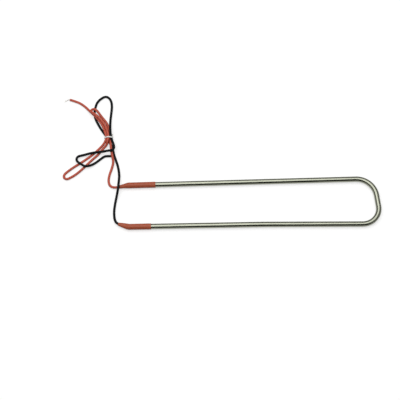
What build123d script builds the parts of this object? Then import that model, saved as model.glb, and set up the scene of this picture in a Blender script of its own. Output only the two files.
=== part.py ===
# Tubular defrost heating element: a bent stainless sheath with a resistance coil
# packed in magnesia, a shrunk sleeve over each end, and two leads in a tied hank.
# Millimetres, +Z up. The element lies flat with its legs along X and its bend at
# +X. The origin is under the middle of the element, on the surface it lies on.

from build123d import *
from math import pi, radians, tan
import os

os.makedirs("parts", exist_ok=True)

# Bent sheath: sizes of the tube and of the loop that its centre line makes
tube_od = 6.5
tube_wall = 0.5
end_spacing = 51.6
bend_spacing = 56.8
live_leg_length = 289.9
neutral_leg_length = 294.1
live_corner_radius = 23.0
neutral_corner_radius = 20.0
neutral_leg_bow = 1.1
bow_place = 156.0
bow_radius = 400.0
live_end_x = -142.5
neutral_end_x = -141.5

# Inside the sheath
coil_od = 2.7
coil_bore = 2.1
pin_diameter = 2.0
pin_overlap = 6.0
cold_length = 38.0
seal_length = 6.0
powder_gap = 0.02

# Shrunk sleeves, from the rim on the sheath to the tip on the lead
sleeve_od = 7.2
shoulder_od = 7.0
live_sleeve_grip = 31.5
neutral_sleeve_grip = 25.0
sleeve_wall = 0.45
cavity_end_run = 1.0
rim_round = 0.12
shoulder_reach = 0.6
live_nose_length = 11.0
live_nose_turn = 8.5
live_nose_widths = [6.0, 5.0, 4.4, 3.9]
live_nose_heights = [6.1, 5.1, 4.5, 3.9]
neutral_nose_length = 12.5
neutral_nose_turn = -17.0
neutral_nose_widths = [6.8, 6.2, 5.5, 4.6, 3.9]
neutral_nose_heights = [5.8, 5.1, 4.7, 4.3, 3.9]
nose_dip = 1.5
slip_gap = 0.03

# Splices inside the noses
pin_bend_reach = 1.2
pin_bend_radius = 2.5
splice_start = 1.5
splice_length = 5.4
splice_od = 3.1
splice_web = 0.8
splice_chamfer = 0.3

# Leads
lead_od = 3.0
lead_seat = 2.6
strand_diameter = 1.3
bare_bend_reach = 1.5
bare_bend_radius = 1.6
live_bare_run = Vector(-5.4, -2.7, -0.6)
neutral_bare_run = Vector(0.5, 0.1, -0.1)
exit_run = 4.8
arc_share = 0.45

# Tie around the hank
tie_place_y = 86.8
tie_width = 1.4
tie_thickness = 0.4
tie_slack = 0.32
tie_strand_spots = [(-168.4, 2.2), (-165.35, 3.05), (-169.9, 5.25), (-167.25, 7.25), (-163.95, 6.25)]
tail_spot = (-162.9, 1.2)
tail_wire = 1.0
tail_pitch = 3.6
tail_turns = 1.75
tail_gap = 0.06

axis_height = sleeve_od / 2
tube_bore = tube_od - 2 * tube_wall
sleeve_bore = tube_od + 2 * slip_gap

# Centre line of the sheath, from the live end round the bend to the neutral end
live_end = Vector(live_end_x, end_spacing / 2, axis_height)
neutral_end = Vector(neutral_end_x, -end_spacing / 2, axis_height)
live_corner = Vector(live_end_x + live_leg_length, bend_spacing / 2, axis_height)
neutral_corner = Vector(neutral_end_x + neutral_leg_length, -bend_spacing / 2, axis_height)
leg_spread = (bend_spacing - end_spacing) / 2
bow_y = -end_spacing / 2 - leg_spread * bow_place / neutral_leg_length + neutral_leg_bow
bow_point = Vector(neutral_end_x + bow_place, bow_y, axis_height)

with BuildLine() as sheath_line:
    FilletPolyline(
        live_end,
        live_corner,
        neutral_corner,
        bow_point,
        neutral_end,
        radius=[live_corner_radius, neutral_corner_radius, bow_radius],
    )
sheath_path = sheath_line.wire()
sheath_length = sheath_path.length


def stretch_between(start, stop):
    """Stretch of the sheath's centre line between two lengths from the live end."""
    return sheath_path.trim(start / sheath_length, stop / sheath_length)


def ring_across(path, outer, bore=0.0):
    """Round profile, hollow if a bore is given, square to the start of a path."""
    with BuildSketch(Plane(origin=path @ 0, z_dir=path % 0)) as profile:
        Circle(outer / 2)
        if bore:
            Circle(bore / 2, mode=Mode.SUBTRACT)
    return profile.sketch


def disc_on(plane, diameter):
    """Round profile in a plane."""
    with BuildSketch(plane) as profile:
        Circle(diameter / 2)
    return profile.sketch


# Stainless sheath, one tube drawn down on its filling and then bent
with BuildPart() as sheath_tube:
    sweep(ring_across(sheath_path, tube_od, tube_bore), path=sheath_path)
sheath_tube.part.label = "sheath_tube"
export_step(sheath_tube.part, "parts/sheath_tube.step")

# Resistance coil, drawn as its close-wound envelope between the two cold pins
coil_start = cold_length - pin_overlap
coil_path = stretch_between(coil_start, sheath_length - coil_start)
with BuildPart() as resistance_coil:
    sweep(ring_across(coil_path, coil_od, coil_bore), path=coil_path)
resistance_coil.part.label = "resistance_coil"
export_step(resistance_coil.part, "parts/resistance_coil.step")

# Magnesia powder, pressed hard around the coil, around each pin and inside the coil
fill_path = stretch_between(seal_length, sheath_length - seal_length)
core_start = cold_length + powder_gap
core_path = stretch_between(core_start, sheath_length - core_start)
pin_paths = [
    stretch_between(seal_length, coil_start - powder_gap),
    stretch_between(sheath_length - coil_start + powder_gap, sheath_length - seal_length),
]
fill_od = tube_bore - 2 * powder_gap
coil_room = coil_od + 2 * powder_gap
pin_room = pin_diameter + 2 * powder_gap
with BuildPart() as magnesia_fill:
    sweep(ring_across(fill_path, fill_od, coil_room), path=fill_path)
    sweep(ring_across(core_path, coil_bore - 2 * powder_gap), path=core_path)
    for pin_path in pin_paths:
        sweep(ring_across(pin_path, coil_room, pin_room), path=pin_path)
magnesia_fill.part.label = "magnesia_fill"
export_step(magnesia_fill.part, "parts/magnesia_fill.step")


def end_plane(end, inboard):
    """Plane on a sheath end: local Z points out along the leg, local Y is up."""
    outward = (end - inboard).normalized()
    return Plane(origin=end, x_dir=Vector(0, 0, 1).cross(outward), z_dir=outward)


def nose_plane(end, turn):
    """Plane where the pin bends, turned and dipped to the lead's way out."""
    return end.offset(pin_bend_reach).rotated((0, -nose_dip, turn))


live_plane = end_plane(live_end, live_corner)
neutral_plane = end_plane(neutral_end, bow_point)
live_nose = nose_plane(live_plane, live_nose_turn)
neutral_nose = nose_plane(neutral_plane, neutral_nose_turn)


def ovals_along(plane, length, widths, heights, wall=0.0):
    """Oval profiles at even steps along a nose, each smaller by a wall all round."""
    step = length / len(widths)
    profiles = []
    for place, (width, height) in enumerate(zip(widths, heights), start=1):
        with BuildSketch(plane.offset(step * place)) as oval:
            Ellipse(width / 2 - wall, height / 2 - wall)
        profiles.append(oval.sketch)
    return profiles


def build_end(name, end, grip, nose, length, widths, heights):
    """Pieces of one end of the element, from the cold pin out to the sleeve."""
    lead_root = length - lead_seat
    splice_middle = splice_start + splice_length / 2
    splice_end = splice_start + splice_length

    # Cold pin: carries the current out through the unheated end of the sheath
    with BuildLine() as pin_line:
        FilletPolyline(
            end.offset(-cold_length).origin,
            end.offset(pin_bend_reach).origin,
            nose.offset(splice_middle - splice_web / 2).origin,
            radius=pin_bend_radius,
        )
    pin_path = pin_line.wire()
    with BuildPart() as cold_pin:
        sweep(ring_across(pin_path, pin_diameter), path=pin_path)
    cold_pin.part.label = f"{name}_cold_pin"
    export_step(cold_pin.part, f"parts/{name}_cold_pin.step")

    # End seal: resin plug that keeps damp out of the magnesia
    with BuildPart() as end_seal:
        with BuildSketch(end.offset(-seal_length + powder_gap)):
            Circle(tube_bore / 2 - powder_gap)
            Circle(pin_diameter / 2 + powder_gap, mode=Mode.SUBTRACT)
        extrude(amount=seal_length - powder_gap)
    end_seal.part.label = f"{name}_end_seal"
    export_step(end_seal.part, f"parts/{name}_end_seal.step")

    # Splice: butt crimp with a web between the pin's bore and the conductor's
    with BuildPart() as splice:
        extrude(disc_on(nose.offset(splice_start), splice_od), amount=splice_length)
        chamfer(splice.edges().filter_by(GeomType.CIRCLE), length=splice_chamfer)
        bore_depth = (splice_length - splice_web) / 2
        pin_bore = disc_on(nose.offset(splice_start), pin_diameter + 2 * slip_gap)
        extrude(pin_bore, amount=bore_depth, mode=Mode.SUBTRACT)
        strand_bore = disc_on(nose.offset(splice_end), strand_diameter + 2 * slip_gap)
        extrude(strand_bore, amount=-bore_depth, mode=Mode.SUBTRACT)
    splice.part.label = f"{name}_splice"
    export_step(splice.part, f"parts/{name}_splice.step")

    # Sleeve: a long cone over the sheath that runs into the nose, down to the lead
    rim_plane = end.offset(-grip)
    shoulder = end.offset(shoulder_reach)
    root_plane = nose.offset(lead_root)
    lead_hole = disc_on(root_plane, lead_od + 2 * slip_gap)
    inner_count = int((lead_root - cavity_end_run) * len(widths) / length)
    inner_ovals = ovals_along(nose, length, widths, heights, sleeve_wall)[:inner_count]
    cavity_profiles = [disc_on(end, sleeve_bore)] + inner_ovals + [lead_hole]
    with BuildPart() as sleeve:
        loft([disc_on(rim_plane, sleeve_od), disc_on(shoulder, shoulder_od)])
        rim = sleeve.edges().filter_by(GeomType.CIRCLE).sort_by(Axis(end.origin, end.z_dir))[0]
        fillet(rim, radius=rim_round)
        loft([disc_on(shoulder, shoulder_od)] + ovals_along(nose, length, widths, heights))
        extrude(disc_on(rim_plane, sleeve_bore), amount=grip, mode=Mode.SUBTRACT)
        loft(cavity_profiles, mode=Mode.SUBTRACT)
        extrude(lead_hole, amount=lead_seat, mode=Mode.SUBTRACT)
    sleeve.part.label = f"{name}_sleeve"
    export_step(sleeve.part, f"parts/{name}_sleeve.step")

    # Sealant: the sleeve's lining, melted round the splice and the bare conductor
    strand_root = disc_on(nose.offset(splice_end - bore_depth), strand_diameter)
    strand_reach = lead_root - splice_end + bore_depth
    with BuildPart() as sealant:
        loft(cavity_profiles)
        add(cold_pin.part, mode=Mode.SUBTRACT)
        extrude(disc_on(nose.offset(splice_start), splice_od), amount=splice_length, mode=Mode.SUBTRACT)
        extrude(strand_root, amount=strand_reach, mode=Mode.SUBTRACT)
    sealant.part.label = f"{name}_sealant"
    export_step(sealant.part, f"parts/{name}_sealant.step")
    return strand_root, strand_reach, root_plane


def arc_radii(points):
    """Arc at each corner of a route, as large as its shorter run and turn allow."""
    radii = []
    for before, corner, after in zip(points, points[1:], points[2:]):
        run_in = corner - before
        run_out = after - corner
        half_turn = radians(run_in.get_angle(run_out)) / 2
        radii.append(arc_share * min(run_in.length, run_out.length) / tan(half_turn))
    return radii


def build_lead(name, end_pieces, chosen_points, bare_run):
    """Lead from its nose along the chosen points, and its conductor's bare ends."""
    strand_root, strand_reach, root_plane = end_pieces
    points = [root_plane.origin, root_plane.offset(exit_run).origin]
    points += [Vector(*point) for point in chosen_points]
    radii = arc_radii(points)
    print(f"{name} lead arc radii:", [round(radius, 1) for radius in radii])
    with BuildLine() as lead_line:
        FilletPolyline(*points, radius=radii)
    lead_path = lead_line.wire()
    with BuildPart() as lead:
        sweep(ring_across(lead_path, lead_od), path=lead_path)
    lead.part.label = f"{name}_lead"
    export_step(lead.part, f"parts/{name}_lead.step")
    tube_volume = lead_od**2 * pi / 4 * lead_path.length
    print(f"{name} lead length {lead_path.length:.1f}, volume ratio {lead.part.volume / tube_volume:.5f}")

    # Conductor: its stub in the splice, and its bare end beyond the insulation
    lead_end = lead_path @ 1
    bend = lead_end + (lead_path % 1) * bare_bend_reach
    with BuildLine() as bare_line:
        FilletPolyline(lead_end, bend, bend + bare_run, radius=bare_bend_radius)
    bare_path = bare_line.wire()
    with BuildPart() as conductor:
        extrude(strand_root, amount=strand_reach)
        sweep(ring_across(bare_path, strand_diameter), path=bare_path)
    conductor.part.label = f"{name}_conductor"
    export_step(conductor.part, f"parts/{name}_conductor.step")


# Chosen points of the live lead: round the hank and back, three strands in the tie
live_lead_points = [
    (-161.5, 24.3, 1.8),
    (-165.3, 26.6, 1.5),
    (-167.0, 32.0, 1.5),
    (-166.0, 40.0, 1.5),
    (-163.0, 48.5, 1.5),
    (-161.0, 56.5, 2.6),
    (-162.0, 63.5, 4.7),
    (-163.6, 71.0, 4.7),
    (-164.3, 77.5, 4.9),
    (-164.8, 83.0, 4.3),
    (-165.6, 88.5, 2.5),
    (-166.8, 97.0, 1.7),
    (-167.9, 104.3, 1.5),
    (-170.3, 109.7, 1.5),
    (-174.1, 114.1, 1.9),
    (-178.0, 119.0, 3.6),
    (-181.0, 123.3, 4.7),
    (-184.5, 126.3, 5.0),
    (-188.3, 124.4, 5.8),
    (-188.3, 120.7, 7.2),
    (-183.8, 117.1, 8.0),
    (-178.2, 111.3, 7.3),
    (-174.5, 106.2, 7.0),
    (-170.4, 99.6, 6.7),
    (-167.8, 93.0, 6.9),
    (-167.1, 87.0, 7.3),
    (-168.0, 82.4, 7.2),
    (-169.0, 78.6, 3.7),
    (-172.6, 74.2, 1.5),
    (-179.0, 67.0, 1.5),
    (-188.5, 58.5, 1.5),
    (-198.0, 48.5, 1.5),
    (-206.0, 41.5, 1.5),
    (-212.5, 37.0, 1.5),
    (-217.0, 34.7, 1.5),
    (-221.0, 37.0, 1.5),
    (-220.2, 41.6, 1.5),
    (-215.5, 45.8, 1.5),
    (-209.5, 50.5, 1.5),
    (-198.5, 57.5, 1.5),
    (-187.0, 66.0, 1.5),
    (-178.5, 74.0, 1.5),
    (-173.0, 79.5, 3.0),
    (-170.5, 83.5, 4.9),
    (-169.6, 88.0, 5.4),
    (-171.2, 94.0, 5.2),
    (-174.0, 101.0, 4.6),
    (-177.5, 107.5, 4.4),
    (-181.5, 113.0, 4.6),
    (-186.4, 118.8, 4.6),
    (-191.2, 124.6, 2.6),
    (-196.2, 130.4, 1.5),
    (-202.4, 135.2, 1.5),
    (-208.8, 138.0, 1.5),
    (-215.0, 140.2, 1.5),
]

# Chosen points of the neutral lead: over the live lead's root, through the tie twice,
# out over the hank's lower loop and back under its own bundle
neutral_lead_points = [
    (-158.0, -14.5, 2.0),
    (-159.5, -6.0, 1.5),
    (-159.0, 2.5, 1.5),
    (-157.5, 10.0, 2.2),
    (-156.2, 15.5, 4.6),
    (-155.0, 20.8, 7.1),
    (-154.5, 26.4, 7.1),
    (-154.2, 32.6, 4.6),
    (-154.0, 40.0, 2.2),
    (-155.5, 50.5, 1.5),
    (-158.2, 60.0, 1.5),
    (-160.3, 67.0, 1.5),
    (-162.0, 74.0, 1.5),
    (-164.6, 79.5, 1.5),
    (-167.7, 84.0, 1.8),
    (-168.8, 88.5, 2.4),
    (-172.5, 94.5, 1.8),
    (-176.5, 101.0, 1.5),
    (-180.0, 107.0, 1.5),
    (-183.5, 113.5, 1.5),
    (-185.0, 121.0, 1.5),
    (-184.0, 128.5, 1.5),
    (-182.0, 135.5, 1.5),
    (-177.5, 141.5, 1.5),
    (-171.0, 145.0, 1.5),
    (-165.5, 140.5, 1.5),
    (-163.5, 132.0, 1.5),
    (-164.2, 122.0, 1.5),
    (-165.3, 112.0, 2.0),
    (-165.4, 102.5, 4.1),
    (-164.9, 94.5, 5.5),
    (-164.3, 87.5, 6.1),
    (-162.4, 82.0, 7.0),
    (-160.3, 77.4, 6.9),
    (-159.2, 73.0, 7.3),
    (-162.0, 69.2, 8.0),
    (-167.0, 69.6, 7.4),
    (-173.5, 69.0, 5.2),
    (-181.5, 68.6, 4.9),
    (-189.0, 67.6, 4.3),
    (-197.5, 66.0, 2.6),
    (-204.5, 64.5, 2.6),
    (-205.5, 58.5, 4.3),
    (-200.0, 54.0, 4.8),
    (-194.5, 50.5, 4.9),
    (-188.2, 52.4, 2.8),
    (-182.6, 56.0, 1.5),
    (-177.2, 60.5, 1.5),
    (-172.0, 64.5, 1.5),
    (-168.0, 64.7, 1.5),
    (-164.0, 64.6, 1.5),
]

live_end_pieces = build_end(
    "live",
    live_plane,
    live_sleeve_grip,
    live_nose,
    live_nose_length,
    live_nose_widths,
    live_nose_heights,
)
neutral_end_pieces = build_end(
    "neutral",
    neutral_plane,
    neutral_sleeve_grip,
    neutral_nose,
    neutral_nose_length,
    neutral_nose_widths,
    neutral_nose_heights,
)
build_lead("live", live_end_pieces, live_lead_points, live_bare_run)
build_lead("neutral", neutral_end_pieces, neutral_lead_points, neutral_bare_run)


# Tie: plastic-covered wire round the five strands, its ends twisted into a tail
tie_plane = Plane(origin=(0, tie_place_y, 0), x_dir=(1, 0, 0), z_dir=(0, -1, 0))
strand_room = lead_od / 2 + tie_slack
with BuildSketch(tie_plane) as tie_inside:
    with Locations(*tie_strand_spots):
        Circle(strand_room)
    make_hull()
with BuildSketch(tie_plane) as tie_outside:
    with Locations(*tie_strand_spots):
        Circle(strand_room + tie_thickness)
    with Locations(tail_spot):
        Circle(tail_wire + tail_gap)
    make_hull()
tail_axis = Axis(tie_plane.from_local_coords((*tail_spot, 0)), -tie_plane.z_dir)
with BuildLine() as twist_line:
    Helix(
        pitch=tail_pitch,
        height=tail_pitch * tail_turns,
        radius=(tail_wire + tail_gap) / 2,
        center=tail_axis.position,
        direction=tail_axis.direction,
    )
twist_path = twist_line.wire()
with BuildPart() as lead_tie:
    extrude(tie_outside.sketch, amount=tie_width / 2, both=True)
    extrude(tie_inside.sketch, amount=tie_width, both=True, mode=Mode.SUBTRACT)
    for wire_path in (twist_path, twist_path.rotate(tail_axis, 180)):
        sweep(ring_across(wire_path, tail_wire), path=wire_path, is_frenet=True)
lead_tie.part.label = "lead_tie"
export_step(lead_tie.part, "parts/lead_tie.step")
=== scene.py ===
from math import cos, pi, radians, sin

import bpy
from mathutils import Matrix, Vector


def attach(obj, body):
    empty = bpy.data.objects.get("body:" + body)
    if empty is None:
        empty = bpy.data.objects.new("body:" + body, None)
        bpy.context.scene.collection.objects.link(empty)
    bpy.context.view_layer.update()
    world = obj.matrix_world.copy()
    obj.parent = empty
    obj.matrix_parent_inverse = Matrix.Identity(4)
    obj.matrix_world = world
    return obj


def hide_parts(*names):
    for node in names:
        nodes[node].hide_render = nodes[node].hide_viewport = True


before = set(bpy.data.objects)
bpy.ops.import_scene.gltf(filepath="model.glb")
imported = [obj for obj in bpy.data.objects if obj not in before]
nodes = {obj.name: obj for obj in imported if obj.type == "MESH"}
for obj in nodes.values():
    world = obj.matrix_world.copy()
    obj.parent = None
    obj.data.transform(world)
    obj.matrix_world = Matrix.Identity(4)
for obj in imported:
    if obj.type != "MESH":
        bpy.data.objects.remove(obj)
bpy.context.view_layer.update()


# Sheath: one stainless tube, drawn down on its powder filling and then bent to the
# loop. Annealed steel with faint drawing lines along the legs, slightly olive from
# the furnace, with small rub marks where it has been handled.
class Link:
    """An output of a finish's node. Arithmetic on links and numbers adds Math nodes."""

    def __init__(self, finish, socket):
        self.finish = finish
        self.socket = socket

    def combine(self, operation, first, second):
        return self.finish.add("ShaderNodeMath", {"operation": operation}, {0: first, 1: second})

    def __add__(self, other):
        return self.combine("ADD", self, other)

    def __sub__(self, other):
        return self.combine("SUBTRACT", self, other)

    def __rsub__(self, other):
        return self.combine("SUBTRACT", other, self)

    def __mul__(self, other):
        return self.combine("MULTIPLY", self, other)

    __radd__ = __add__
    __rmul__ = __mul__

    def between(self, low, high):
        """Number from low to high as this link goes from 0 to 1."""
        return self * (high - low) + low


class Finish:
    """The nodes of a material or a world, all made by add()."""

    def __init__(self, owner):
        self.owner = owner
        owner.use_nodes = True
        self.tree = owner.node_tree
        self.tree.nodes.clear()

    def add(self, kind, settings, values, output=0):
        """Node of a kind, its settings made first, then its sockets' values or links."""
        node = self.tree.nodes.new(kind)
        for name, value in settings.items():
            setattr(node, name, value)
        for name, value in values.items():
            if isinstance(value, Link):
                self.tree.links.new(value.socket, node.inputs[name])
            else:
                node.inputs[name].default_value = value
        return Link(self, node.outputs[output]) if node.outputs else None

    def noise(self, scale, detail=2.0, stretch=(1, 1, 1)):
        """Noise from 0 to 1 on Object coordinates, in patches about 1 / scale metres wide."""
        point = self.add("ShaderNodeTexCoord", {}, {}, "Object")
        stretched = self.add("ShaderNodeMapping", {}, {"Vector": point, "Scale": stretch})
        values = {"Vector": stretched, "Scale": scale, "Detail": detail}
        return self.add("ShaderNodeTexNoise", {}, values)

    def blend(self, share, first, second):
        """Colour from the first to the second as the share goes from 0 to 1."""
        settings = {"data_type": "RGBA", "clamp_factor": True}
        first_color_input = 6
        second_color_input = 7
        mixed_color_output = 2
        values = {"Factor": share}
        values[first_color_input] = (*first, 1)
        values[second_color_input] = (*second, 1)
        return self.add("ShaderNodeMix", settings, values, mixed_color_output)

    def surface(self, height, distance, **sockets):
        """The material, with a bump that stands up to the distance where the height is 1."""
        values = {"Height": height, "Distance": distance, "Strength": 1.0}
        sockets["Normal"] = self.add("ShaderNodeBump", {}, values)
        named = {name.replace("_", " "): value for name, value in sockets.items()}
        shader = self.add("ShaderNodeBsdfPrincipled", {}, named)
        self.add("ShaderNodeOutputMaterial", {}, {"Surface": shader})
        return self.owner


def finish_node(name, material):
    """Gives a CAD node's own slots one material."""
    for slot in nodes[name].material_slots:
        slot.material = material


def sheath_steel():
    clean_steel = (0.305, 0.315, 0.253)
    tinted_steel = (0.229, 0.238, 0.188)
    line_length_scale = 12
    line_width_scale = 2600
    corner_start_x = 0.130
    corner_end_x = 0.148
    line_share = 0.6
    tint_contrast = 1.2
    tint_offset = 0.1
    clean_roughness = 0.15
    line_roughness = 0.08
    rub_roughness = 0.06
    finish = Finish(bpy.data.materials.new("sheath_steel"))
    along_legs = (line_length_scale, line_width_scale, line_width_scale)
    leg_lines = finish.noise(scale=1.0, detail=3.0, stretch=along_legs)
    along_bend = (line_width_scale, line_length_scale, line_width_scale)
    bend_lines = finish.noise(scale=1.0, detail=3.0, stretch=along_bend)
    point = finish.add("ShaderNodeTexCoord", {}, {}, "Object")
    along = finish.add("ShaderNodeSeparateXYZ", {}, {"Vector": point}, "X")
    corner = {"Value": along, "From Min": corner_start_x, "From Max": corner_end_x}
    past_leg = finish.add("ShaderNodeMapRange", {}, corner)
    drawing_lines = leg_lines * (1 - past_leg) + bend_lines * past_leg
    furnace_tint = finish.noise(scale=45, detail=3.0)
    rub_marks = finish.noise(scale=900, detail=4.0)
    tint_share = furnace_tint * tint_contrast - tint_offset
    return finish.surface(
        height=drawing_lines * line_share + rub_marks * (1 - line_share),
        distance=0.00003,
        Base_Color=finish.blend(tint_share, clean_steel, tinted_steel),
        Roughness=drawing_lines * line_roughness + rub_marks * rub_roughness + clean_roughness,
        Metallic=1.0,
    )


finish_node("sheath_tube", sheath_steel())


# Filling and coil: pressed magnesia powder round a wound resistance wire. Both are
# shut in the sheath for good and only held to their true shape and finish here. The
# coil's colour also carries painted shade between its windings and a painted highlight
# on their tops.
def pressed_powder():
    grey_grain = (0.80, 0.79, 0.75)
    white_grain = (0.88, 0.87, 0.84)
    finish = Finish(bpy.data.materials.new("magnesia"))
    grains = finish.noise(scale=5200, detail=5.0)
    return finish.surface(
        height=grains,
        distance=0.00004,
        Base_Color=finish.blend(grains, grey_grain, white_grain),
        Roughness=0.9,
    )


def wound_wire():
    # Painted shade and highlight: the wire's colour is darker in the gaps between the windings
    # and lighter on their tops.
    painted_shade_between_windings = (0.30, 0.29, 0.27)
    painted_highlight_on_windings = (0.48, 0.46, 0.43)
    turn_scale = 2200
    round_scale = 60
    finish = Finish(bpy.data.materials.new("resistance_alloy"))
    across_turns = (turn_scale, round_scale, round_scale)
    turns = finish.noise(scale=1.0, detail=1.0, stretch=across_turns)
    return finish.surface(
        height=turns,
        distance=0.0002,
        # The colour follows the windings, with painted shade in the gaps and a painted highlight
        # on the tops.
        Base_Color=finish.blend(turns, painted_shade_between_windings, painted_highlight_on_windings),
        Roughness=0.38,
        Metallic=1.0,
    )


finish_node("magnesia_fill", pressed_powder())
finish_node("resistance_coil", wound_wire())


# Terminals: an unheated steel pin in each end of the coil, a resin plug that keeps
# the powder dry, a crimped splice to the lead and the sealant melted around it.
def turned_pin():
    scratch_steel = (0.50, 0.49, 0.47)
    bright_steel = (0.62, 0.61, 0.58)
    scratch_length_scale = 40
    scratch_width_scale = 4200
    finish = Finish(bpy.data.materials.new("pin_steel"))
    along_pin = (scratch_length_scale, scratch_width_scale, scratch_width_scale)
    scratches = finish.noise(scale=1.0, detail=3.0, stretch=along_pin)
    return finish.surface(
        height=scratches,
        distance=0.00002,
        Base_Color=finish.blend(scratches, scratch_steel, bright_steel),
        Roughness=scratches.between(0.25, 0.40),
        Metallic=1.0,
    )


def cast_resin():
    deep_resin = (0.48, 0.16, 0.09)
    thin_resin = (0.60, 0.24, 0.15)
    finish = Finish(bpy.data.materials.new("seal_resin"))
    flow = finish.noise(scale=700, detail=3.0)
    return finish.surface(
        height=flow,
        distance=0.00005,
        Base_Color=finish.blend(flow, deep_resin, thin_resin),
        Roughness=0.55,
    )


def tinned_crimp():
    dull_tin = (0.66, 0.65, 0.63)
    bright_tin = (0.78, 0.77, 0.75)
    finish = Finish(bpy.data.materials.new("tinned_crimp"))
    press_marks = finish.noise(scale=900, detail=2.0)
    return finish.surface(
        height=press_marks,
        distance=0.00006,
        Base_Color=finish.blend(press_marks, dull_tin, bright_tin),
        Roughness=press_marks.between(0.25, 0.45),
        Metallic=1.0,
    )


def melted_lining():
    deep_amber = (0.62, 0.52, 0.36)
    pale_amber = (0.74, 0.66, 0.52)
    finish = Finish(bpy.data.materials.new("sealant"))
    flow = finish.noise(scale=500, detail=3.0)
    return finish.surface(
        height=flow,
        distance=0.00008,
        Base_Color=finish.blend(flow, deep_amber, pale_amber),
        Roughness=0.3,
    )


terminal_finishes = {
    "cold_pin": turned_pin(),
    "end_seal": cast_resin(),
    "splice": tinned_crimp(),
    "sealant": melted_lining(),
}
for pole in ("live", "neutral"):
    for piece, material in terminal_finishes.items():
        finish_node(f"{pole}_{piece}", material)


# Sleeves: red-brown rubber tube shrunk with heat over the sheath's end, down to a
# nose on the lead. Slightly uneven where the heat pulled it in, dull with a sheen.
def shrunk_rubber():
    deep_red_brown = (0.33, 0.070, 0.030)
    bright_red_brown = (0.465, 0.102, 0.044)
    pull_length_scale = 700
    pull_width_scale = 240
    pull_share = 0.6
    finish = Finish(bpy.data.materials.new("sleeve_rubber"))
    mottle = finish.noise(scale=260, detail=3.0)
    pull_stretch = (pull_length_scale, pull_width_scale, pull_width_scale)
    pulls = finish.noise(scale=1.0, detail=2.0, stretch=pull_stretch)
    return finish.surface(
        height=mottle * (1 - pull_share) + pulls * pull_share,
        distance=0.00022,
        Base_Color=finish.blend(mottle, deep_red_brown, bright_red_brown),
        Roughness=pulls.between(0.34, 0.49),
        Specular_IOR_Level=0.3,
    )


sleeve_rubber = shrunk_rubber()
finish_node("live_sleeve", sleeve_rubber)
finish_node("neutral_sleeve", sleeve_rubber)


# Leads: stranded copper in soft insulation, red to the live pin and black to the
# neutral one. Each leaves its nose, runs through the tied hank and ends bare.
lead_diameter = 0.003
live_lead_points = [
    (-0.151993, 0.0244732, 0.0033828),
    (-0.156732, 0.0237212, 0.0032587),
    (-0.1615, 0.0243, 0.0018),
    (-0.1653, 0.0266, 0.0015),
    (-0.167, 0.032, 0.0015),
    (-0.166, 0.04, 0.0015),
    (-0.163, 0.0485, 0.0015),
    (-0.161, 0.0565, 0.0026),
    (-0.1624, 0.0635, 0.0047),
    (-0.164, 0.071, 0.0047),
    (-0.1643, 0.0775, 0.0049),
    (-0.1648, 0.083, 0.00445),
    (-0.1656, 0.0885, 0.0025),
    (-0.1668, 0.097, 0.0017),
    (-0.1681, 0.1043, 0.0015),
    (-0.1707, 0.1097, 0.0015),
    (-0.1745, 0.1141, 0.0019),
    (-0.1783, 0.119, 0.0036),
    (-0.181, 0.1229, 0.0047),
    (-0.1845, 0.1257, 0.005),
    (-0.1881, 0.1242, 0.006),
    (-0.1883, 0.1207, 0.0072),
    (-0.1833, 0.1171, 0.008),
    (-0.1769, 0.1113, 0.0073),
    (-0.1732, 0.1062, 0.007),
    (-0.1699, 0.0996, 0.0067),
    (-0.1678, 0.093, 0.0069),
    (-0.1671, 0.087, 0.0073),
    (-0.168, 0.0824, 0.0072),
    (-0.169, 0.0786, 0.0037),
    (-0.1737, 0.0744, 0.0015),
    (-0.1794, 0.0668, 0.0015),
    (-0.1885, 0.0585, 0.0015),
    (-0.198, 0.0485, 0.0015),
    (-0.206, 0.0415, 0.0015),
    (-0.2122, 0.0377, 0.0015),
    (-0.2164, 0.0357, 0.0015),
    (-0.2201, 0.0379, 0.0015),
    (-0.2196, 0.0421, 0.0015),
    (-0.2155, 0.0458, 0.0015),
    (-0.2095, 0.0505, 0.0015),
    (-0.1985, 0.0575, 0.0015),
    (-0.187, 0.066, 0.0015),
    (-0.1785, 0.074, 0.0015),
    (-0.173, 0.0795, 0.003),
    (-0.1705, 0.0835, 0.0049),
    (-0.1696, 0.088, 0.0054),
    (-0.171, 0.094, 0.0052),
    (-0.1733, 0.101, 0.0046),
    (-0.1767, 0.1075, 0.0044),
    (-0.1808, 0.113, 0.0046),
    (-0.1861, 0.1188, 0.0046),
    (-0.1912, 0.1246, 0.0026),
    (-0.1962, 0.1304, 0.0015),
    (-0.2024, 0.1352, 0.0015),
    (-0.2088, 0.138, 0.0015),
    (-0.215, 0.1402, 0.0015),
]
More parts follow.
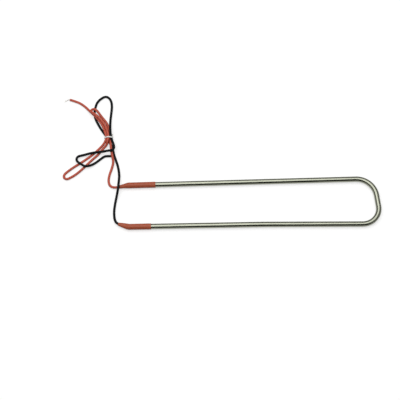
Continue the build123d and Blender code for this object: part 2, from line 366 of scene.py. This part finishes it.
neutral_lead_points = [
    (-0.152159, -0.0228864, 0.0033523),
    (-0.156745, -0.0214748, 0.0032322),
    (-0.1594, -0.0155, 0.002),
    (-0.16, -0.006, 0.0015),
    (-0.159, 0.0025, 0.0015),
    (-0.1575, 0.01, 0.0022),
    (-0.1562, 0.0155, 0.0046),
    (-0.155, 0.0208, 0.0071),
    (-0.1545, 0.0264, 0.0071),
    (-0.1542, 0.0326, 0.0046),
    (-0.154, 0.04, 0.0022),
    (-0.1555, 0.0505, 0.0015),
    (-0.1586, 0.06, 0.0015),
    (-0.1609, 0.067, 0.0015),
    (-0.1621, 0.0742, 0.0015),
    (-0.1643, 0.0796, 0.0015),
    (-0.1677, 0.084, 0.0018),
    (-0.1688, 0.0885, 0.0024),
    (-0.1729, 0.0945, 0.0018),
    (-0.1771, 0.101, 0.0015),
    (-0.1804, 0.107, 0.0015),
    (-0.1835, 0.1135, 0.0015),
    (-0.185, 0.121, 0.0015),
    (-0.184, 0.1285, 0.0015),
    (-0.182, 0.1355, 0.0015),
    (-0.1773, 0.1408, 0.0015),
    (-0.1709, 0.1442, 0.0015),
    (-0.1654, 0.1398, 0.0015),
    (-0.1635, 0.132, 0.0015),
    (-0.1642, 0.122, 0.0015),
    (-0.1653, 0.112, 0.002),
    (-0.1654, 0.1025, 0.0041),
    (-0.1649, 0.0945, 0.0055),
    (-0.1643, 0.0875, 0.0061),
    (-0.1624, 0.082, 0.007),
    (-0.1607, 0.0774, 0.0069),
    (-0.1598, 0.073, 0.0073),
    (-0.1625, 0.0692, 0.008),
    (-0.167, 0.0696, 0.0074),
    (-0.1735, 0.069, 0.0052),
    (-0.1815, 0.0686, 0.0049),
    (-0.189, 0.0676, 0.0043),
    (-0.1975, 0.066, 0.0026),
    (-0.2045, 0.0645, 0.0026),
    (-0.2055, 0.0585, 0.0043),
    (-0.2, 0.054, 0.0048),
    (-0.1945, 0.0505, 0.0049),
    (-0.1882, 0.0524, 0.0028),
    (-0.1826, 0.056, 0.0015),
    (-0.1772, 0.0605, 0.0015),
    (-0.172, 0.0645, 0.0015),
    (-0.168, 0.0647, 0.0015),
    (-0.164, 0.0646, 0.0015),
]


def soft_insulation(name, deep, bright, shine):
    finish = Finish(bpy.data.materials.new(name))
    rubs = finish.noise(scale=420, detail=4.0)
    skin = finish.noise(scale=2600, detail=3.0)
    return finish.surface(
        height=skin,
        distance=0.00003,
        Base_Color=finish.blend(rubs, deep, bright),
        Roughness=rubs.between(0.32, 0.52),
        Specular_IOR_Level=shine,
    )


def lay_lead(name, points, material):
    """Round lead whose line is one smooth spline with the route's points."""
    curve = bpy.data.curves.new(name, "CURVE")
    curve.dimensions = "3D"
    spline = curve.splines.new("NURBS")
    spline.points.add(len(points) - 1)
    for point, spot in zip(spline.points, points):
        point.co = (*spot, 1)
    spline.order_u = 3
    spline.use_endpoint_u = True
    spline.resolution_u = 8
    curve.bevel_depth = lead_diameter / 2
    curve.bevel_resolution = 5
    curve.use_fill_caps = True
    curve.materials.append(material)
    lead = bpy.data.objects.new(name, curve)
    bpy.context.scene.collection.objects.link(lead)
    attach(lead, "root")
    return lead


red_insulation = soft_insulation(
    "red_insulation", deep=(0.42, 0.073, 0.041), bright=(0.63, 0.109, 0.062), shine=0.30
)
black_insulation = soft_insulation(
    "black_insulation", deep=(0.002, 0.003, 0.004), bright=(0.004, 0.005, 0.006), shine=0.11
)
live_lead = lay_lead("live_lead_line", live_lead_points, red_insulation)
neutral_lead = lay_lead("neutral_lead_line", neutral_lead_points, black_insulation)
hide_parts("live_lead")
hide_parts("neutral_lead")


# Conductors: the bare ends of the leads and their stubs in the splices. Fine strands
# of tinned copper, twisted by hand where the insulation is stripped.
def tinned_strands():
    dull_tin = (0.62, 0.60, 0.56)
    bright_tin = (0.80, 0.79, 0.76)
    finish = Finish(bpy.data.materials.new("tinned_copper"))
    lay = finish.noise(scale=1800, detail=2.0)
    return finish.surface(
        height=lay,
        distance=0.00006,
        Base_Color=finish.blend(lay, dull_tin, bright_tin),
        Roughness=lay.between(0.2, 0.4),
        Metallic=1.0,
    )


strand_tin = tinned_strands()
finish_node("live_conductor", strand_tin)
finish_node("neutral_conductor", strand_tin)


# Tie: a wire covered in pale plastic, put once round the hank, with its two ends
# twisted together underneath.
def clear_white_plastic():
    thick_plastic = (0.80, 0.79, 0.76)
    thin_plastic = (0.90, 0.90, 0.88)
    finish = Finish(bpy.data.materials.new("tie_plastic"))
    ripple = finish.noise(scale=1500, detail=2.0)
    return finish.surface(
        height=ripple,
        distance=0.00003,
        Base_Color=finish.blend(ripple, thick_plastic, thin_plastic),
        Roughness=ripple.between(0.25, 0.45),
    )


finish_node("lead_tie", clear_white_plastic())


# Floor: a plain pale sheet that shows as white to the camera and in reflections,
# and keeps the element's shadow.
floor_width = 12
paper_grey = 0.48
paper_glow = 0.605
bpy.ops.mesh.primitive_plane_add(size=floor_width)
floor = bpy.context.object
floor.name = "floor"
sheet = Finish(bpy.data.materials.new("floor_white"))
seen = sheet.add("ShaderNodeLightPath", {}, {}, "Is Camera Ray")
mirrored = sheet.add("ShaderNodeLightPath", {}, {}, "Is Glossy Ray")
cleared = sheet.add("ShaderNodeLightPath", {}, {}, "Is Transmission Ray")
paper_color = (paper_grey, paper_grey, paper_grey, 1)
paper = sheet.add("ShaderNodeBsdfDiffuse", {}, {"Color": paper_color})
glow_strength = (seen + mirrored + cleared) * paper_glow
glow = sheet.add("ShaderNodeEmission", {}, {"Strength": glow_strength})
lit_paper = sheet.add("ShaderNodeAddShader", {}, {0: paper, 1: glow})
sheet.add("ShaderNodeOutputMaterial", {}, {"Surface": lit_paper})
floor.data.materials.append(sheet.owner)


# Light: a room with a pale ceiling and darker walls, a dark stand over the near side
# that the metal mirrors, and one broad lamp high overhead. Heights in the room are
# sines of the angle above the horizon, and the stand's edges cosines from its middle.
wall_light = 0.08
wall_top = 0.2
ceiling_light = 0.5
ceiling_edge = 0.85
stand_tilt = radians(55)
stand_edge = 0.72
stand_core = 0.90
stand_light_share = 0.04
world = bpy.data.worlds.new("room")
bpy.context.scene.world = world
room = Finish(world)
look = room.add("ShaderNodeTexCoord", {}, {}, "Generated")
stand = (0, -sin(stand_tilt), cos(stand_tilt))
toward_stand = room.add(
    "ShaderNodeVectorMath", {"operation": "DOT_PRODUCT"}, {0: look, 1: stand}, "Value"
)
past_stand = room.add(
    "ShaderNodeMapRange",
    {"interpolation_type": "SMOOTHSTEP"},
    {
        "Value": toward_stand,
        "From Min": stand_edge,
        "From Max": stand_core,
        "To Min": 1.0,
        "To Max": stand_light_share,
    },
)
height = room.add("ShaderNodeSeparateXYZ", {}, {"Vector": look}, "Z")
walls = room.add(
    "ShaderNodeMapRange",
    {"interpolation_type": "SMOOTHSTEP"},
    {
        "Value": height,
        "From Min": wall_top,
        "From Max": ceiling_edge,
        "To Min": wall_light,
        "To Max": ceiling_light,
    },
)
level = past_stand * walls
room_light = room.add("ShaderNodeBackground", {}, {"Color": (1, 1, 1, 1), "Strength": level})
room.add("ShaderNodeOutputWorld", {}, {"Surface": room_light})

lamp = bpy.data.lights.new("lamp", "AREA")
lamp.shape = "SQUARE"
lamp.size = 1.7
lamp.energy = 19.5
lamp_stand = bpy.data.objects.new("lamp", lamp)
lamp_stand.location = (-0.20, 0.22, 1.50)
lamp_stand.rotation_euler = lamp_stand.location.to_track_quat("Z", "Y").to_euler()
bpy.context.scene.collection.objects.link(lamp_stand)


# Camera: the photograph's own view, high over the near side with a long lens. Its
# shifts set the picture's middle half a pixel off the lens's middle.
picture_width = 400
half_pixel = 0.5 / picture_width
elevation = radians(70)
heading = radians(1.2)
distance = 1.180
aim = Vector((-0.0582, 0.0064, 0))
camera_data = bpy.data.cameras.new("camera")
camera_data.sensor_width = 36
camera_data.lens = 90
camera_data.shift_x = -half_pixel
camera_data.shift_y = half_pixel
camera = bpy.data.objects.new("camera", camera_data)
back = Vector((-sin(heading) * cos(elevation), -cos(heading) * cos(elevation), sin(elevation)))
camera.location = aim + back * distance
camera.rotation_euler = (pi / 2 - elevation, 0, -heading)
bpy.context.scene.collection.objects.link(camera)
bpy.context.scene.camera = camera
bpy.context.scene.view_settings.view_transform = "Standard"
